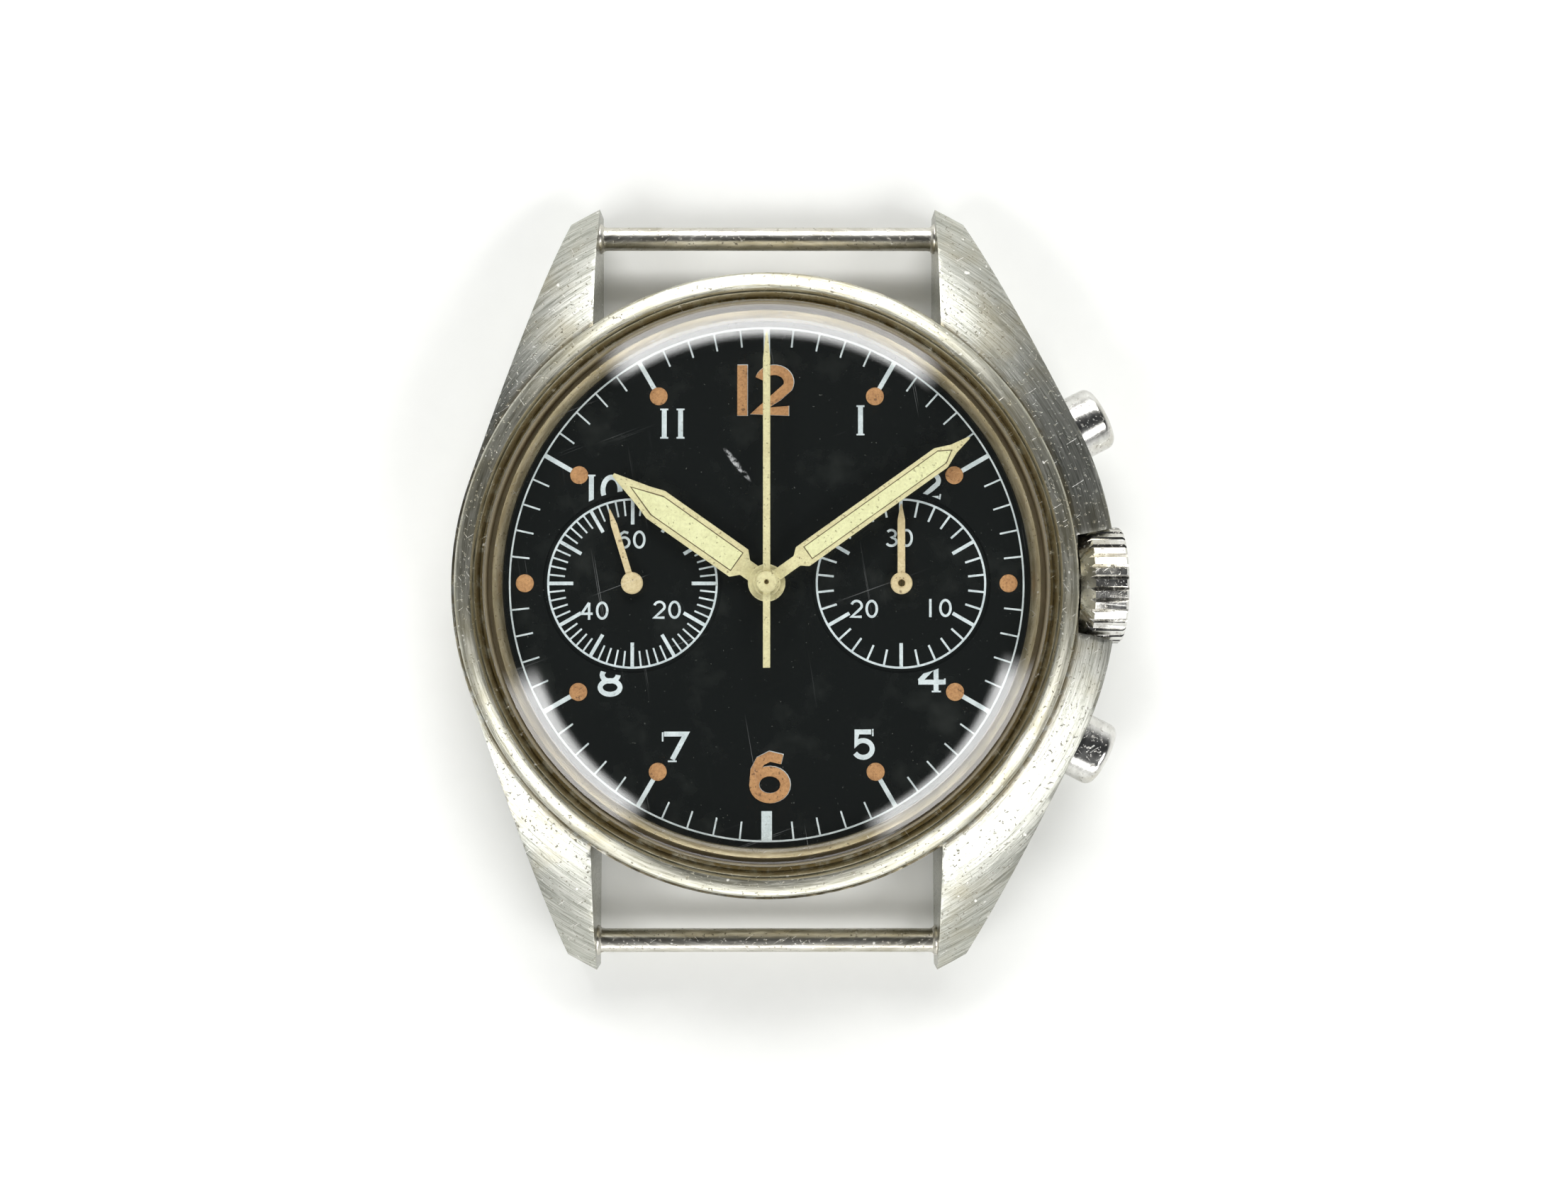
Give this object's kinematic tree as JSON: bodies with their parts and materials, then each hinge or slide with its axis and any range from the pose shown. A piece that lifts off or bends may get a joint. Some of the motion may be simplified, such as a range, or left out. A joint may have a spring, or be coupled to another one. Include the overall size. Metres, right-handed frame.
{
  "type": "mechanical stopwatch",
  "caption": "Hand-wound two-register wrist chronograph: brushed steel case, black dial, fixed strap bars, crown and two pushers.",
  "frame": {"origin": "centre of the flat outer face of the case back", "axes": "+Z out of the dial, +Y to 12 o'clock, +X to the crown at 3 o'clock"},
  "size_m": [0.0386, 0.045, 0.013],
  "materials": {
    "brushed_steel": "brushed",
    "polished_steel": "polished",
    "crystal": "clear",
    "dial_black": "gloss",
    "gasket_rubber": "matt",
    "hand_paint": "aged lume and paint",
    "nickel": "satin nickel plating",
    "brass": "gilt",
    "tool_steel": "polished",
    "spring_steel": "blued",
    "ruby": "clear red"
  },
  "bodies": {
    "case": {"mid_case": "brushed_steel", "bezel": "brushed_steel", "crystal": "crystal", "tension_ring": "polished_steel", "case_back": "brushed_steel", "back_gasket": "gasket_rubber", "strap_bar_12": "brushed_steel", "strap_bar_6": "brushed_steel", "crown_tube": "polished_steel", "pusher_tube_start": "polished_steel", "pusher_tube_reset": "polished_steel", "movement_ring": "nickel", "dial": "dial_black", "main_plate": "nickel", "barrel_bridge": "nickel", "train_bridge": "nickel", "balance_cock": "nickel", "pallet_cock": "nickel", "chronograph_bridge": "nickel", "jewels": "ruby", "bridge_screws": "tool_steel", "hairspring": "spring_steel"},
    "crown_carrier": {"crown_gasket": "gasket_rubber"},
    "crown": {"crown": "polished_steel", "winding_stem": "tool_steel"},
    "yoke": {"yoke": "tool_steel"},
    "sliding_clutch": {"sliding_clutch": "tool_steel"},
    "winding_pinion": {"winding_pinion": "tool_steel"},
    "setting_lever": {"setting_lever": "tool_steel"},
    "crown_wheel": {"crown_wheel": "tool_steel"},
    "ratchet": {"ratchet_wheel": "tool_steel"},
    "click": {"click": "tool_steel"},
    "barrel": {"barrel": "brass", "mainspring": "spring_steel"},
    "centre": {"centre_wheel": "brass", "cannon_pinion": "tool_steel", "minute_hand": "hand_paint"},
    "hour": {"hour_wheel": "brass", "hour_hand": "hand_paint"},
    "minute_wheel": {"minute_wheel": "brass"},
    "setting_wheel": {"setting_wheel": "brass"},
    "third": {"third_wheel": "brass"},
    "fourth": {"fourth_wheel": "brass", "small_seconds_hand": "hand_paint"},
    "escape": {"escape_wheel": "tool_steel"},
    "pallet": {"pallet_fork": "tool_steel"},
    "balance": {"balance_wheel": "brass"},
    "clutch_lever": {"clutch_lever": "tool_steel"},
    "coupling": {"coupling_wheel": "brass"},
    "chronograph": {"chronograph_wheel": "brass", "chrono_seconds_hand": "hand_paint"},
    "minute_counter": {"minute_counter_wheel": "brass", "minute_recorder_hand": "hand_paint"},
    "counter_idler": {"counter_idler": "brass"},
    "hammer": {"reset_hammer": "tool_steel"},
    "column_wheel": {"column_wheel": "tool_steel"},
    "operating_lever": {"operating_lever": "tool_steel"},
    "pusher_start": {"pusher_start": "polished_steel"},
    "pusher_reset": {"pusher_reset": "polished_steel"}
  },
  "joints": [
    {"name": "time_train", "type": "hinge", "parent": "case", "child": "centre", "pos_m": [0, 0, 0.005], "axis": [0, 0, -1], "continuous": true},
    {"name": "hour_turn", "type": "hinge", "parent": "case", "child": "hour", "pos_m": [0, 0, 0.005], "axis": [0, 0, -1], "continuous": true},
    {"name": "minute_wheel_turn", "type": "hinge", "parent": "case", "child": "minute_wheel", "pos_m": [0.00271, -0.00098, 0.005], "axis": [0, 0, -1], "continuous": true},
    {"name": "setting_wheel_turn", "type": "hinge", "parent": "case", "child": "setting_wheel", "pos_m": [0.00706, -0.00303, 0.005], "axis": [0, 0, -1], "continuous": true},
    {"name": "third_turn", "type": "hinge", "parent": "case", "child": "third", "pos_m": [-0.00439, -0.00273, 0.005], "axis": [0, 0, -1], "continuous": true},
    {"name": "fourth_turn", "type": "hinge", "parent": "case", "child": "fourth", "pos_m": [-0.00765, 0, 0.005], "axis": [0, 0, -1], "continuous": true},
    {"name": "escape_turn", "type": "hinge", "parent": "case", "child": "escape", "pos_m": [-0.00914, -0.00319, 0.005], "axis": [0, 0, -1], "continuous": true},
    {"name": "barrel_turn", "type": "hinge", "parent": "case", "child": "barrel", "pos_m": [0.00338, 0.00636, 0.005], "axis": [0, 0, -1], "continuous": true},
    {"name": "coupling_turn", "type": "hinge", "parent": "clutch_lever", "child": "coupling", "pos_m": [-0.00408, 0.00201, 0.005], "axis": [0, 0, -1], "continuous": true},
    {"name": "balance_swing", "type": "hinge", "parent": "case", "child": "balance", "pos_m": [-0.00624, -0.00821, 0.005], "axis": [0, 0, -1], "range_deg": [-135, 135], "stiffness_Nm_per_rad": 0.00000035},
    {"name": "pallet_rock", "type": "hinge", "parent": "case", "child": "pallet", "pos_m": [-0.00793, -0.00529, 0.005], "axis": [0, 0, -1], "range_deg": [-4, 4]},
    {"name": "chrono_run", "type": "hinge", "parent": "case", "child": "chronograph", "pos_m": [0, 0, 0.005], "axis": [0, 0, -1], "continuous": true},
    {"name": "counter_turn", "type": "hinge", "parent": "case", "child": "minute_counter", "pos_m": [0.00765, 0, 0.005], "axis": [0, 0, -1], "continuous": true},
    {"name": "counter_idler_turn", "type": "hinge", "parent": "case", "child": "counter_idler", "pos_m": [0.00451, -0.00061, 0.005], "axis": [0, 0, -1], "continuous": true},
    {"name": "crown_pull", "type": "slide", "parent": "case", "child": "crown_carrier", "axis": [1, 0, 0], "range_m": [0, 0.0009]},
    {"name": "yoke_slide", "type": "slide", "parent": "case", "child": "yoke", "axis": [-1, 0, 0], "range_m": [0, 0.00061]},
    {"name": "setting_lever_rock", "type": "hinge", "parent": "case", "child": "setting_lever", "pos_m": [0.0124, -0.0034, 0.005], "axis": [0, 0, -1], "range_deg": [0, 21]},
    {"name": "crown_turn", "type": "hinge", "parent": "crown_carrier", "child": "crown", "pos_m": [0.019, 0, 0.0052], "axis": [1, 0, 0], "continuous": true},
    {"name": "winding_pinion_turn", "type": "hinge", "parent": "case", "child": "winding_pinion", "pos_m": [0.011, 0, 0.0052], "axis": [1, 0, 0], "continuous": true},
    {"name": "clutch_turn", "type": "hinge", "parent": "yoke", "child": "sliding_clutch", "pos_m": [0.01, 0, 0.0052], "axis": [1, 0, 0], "continuous": true},
    {"name": "crown_wheel_turn", "type": "hinge", "parent": "case", "child": "crown_wheel", "pos_m": [0.0106, 0.00269, 0.005], "axis": [0, 0, -1], "continuous": true},
    {"name": "ratchet_turn", "type": "hinge", "parent": "case", "child": "ratchet", "pos_m": [0.00338, 0.00636, 0.005], "axis": [0, 0, -1], "continuous": true},
    {"name": "click_rock", "type": "hinge", "parent": "case", "child": "click", "pos_m": [0.00099, 0.01294, 0.005], "axis": [0, 0, 1], "range_deg": [0, 8]},
    {"name": "start_push", "type": "slide", "parent": "case", "child": "pusher_start", "axis": [-0.891, -0.454, 0], "range_m": [0, 0.001], "stiffness_N_per_m": 20},
    {"name": "operating_lever_slide", "type": "slide", "parent": "case", "child": "operating_lever", "axis": [-0.891, -0.454, 0], "range_m": [0, 0.001]},
    {"name": "column_turn", "type": "hinge", "parent": "case", "child": "column_wheel", "pos_m": [0.0052, 0.0096, 0.005], "axis": [0, 0, -1], "range_deg": [0, 30.1]},
    {"name": "clutch_rock", "type": "hinge", "parent": "case", "child": "clutch_lever", "pos_m": [-0.00765, 0, 0.005], "axis": [0, 0, -1], "range_deg": [0, 4.5]},
    {"name": "reset_push", "type": "slide", "parent": "case", "child": "pusher_reset", "axis": [-0.891, 0.454, 0], "range_m": [0, 0.001], "stiffness_N_per_m": 20},
    {"name": "hammer_slide", "type": "slide", "parent": "case", "child": "hammer", "axis": [-0.891, 0.454, 0], "range_m": [0, 0.001]}
  ],
  "couplings": [
    {"joint": "hour_turn", "follows": "time_train", "ratio": 0.083333},
    {"joint": "minute_wheel_turn", "follows": "time_train", "ratio": -0.33333},
    {"joint": "setting_wheel_turn", "follows": "time_train", "ratio": 0.27907},
    {"joint": "third_turn", "follows": "time_train", "ratio": -8},
    {"joint": "fourth_turn", "follows": "time_train", "ratio": 60},
    {"joint": "escape_turn", "follows": "time_train", "ratio": -600},
    {"joint": "barrel_turn", "follows": "time_train", "ratio": -0.15385},
    {"joint": "coupling_turn", "follows": "time_train", "ratio": -145},
    {"joint": "counter_turn", "follows": "chrono_run", "ratio": 0.033333},
    {"joint": "counter_idler_turn", "follows": "chrono_run", "ratio": -0.048718},
    {"joint": "yoke_slide", "follows": "crown_pull", "ratio": 0.6666},
    {"joint": "setting_lever_rock", "follows": "crown_pull", "rad_per_m": 400},
    {"joint": "winding_pinion_turn", "follows": "crown_turn", "ratio": 1},
    {"joint": "clutch_turn", "follows": "crown_turn", "ratio": 1},
    {"joint": "crown_wheel_turn", "follows": "crown_turn", "ratio": -0.5},
    {"joint": "ratchet_turn", "follows": "crown_turn", "ratio": 0.21053},
    {"joint": "operating_lever_slide", "follows": "start_push", "ratio": 1},
    {"joint": "column_turn", "follows": "start_push", "rad_per_m": 523.5},
    {"joint": "clutch_rock", "follows": "start_push", "rad_per_m": 76.8},
    {"joint": "hammer_slide", "follows": "reset_push", "ratio": 1}
  ]
}
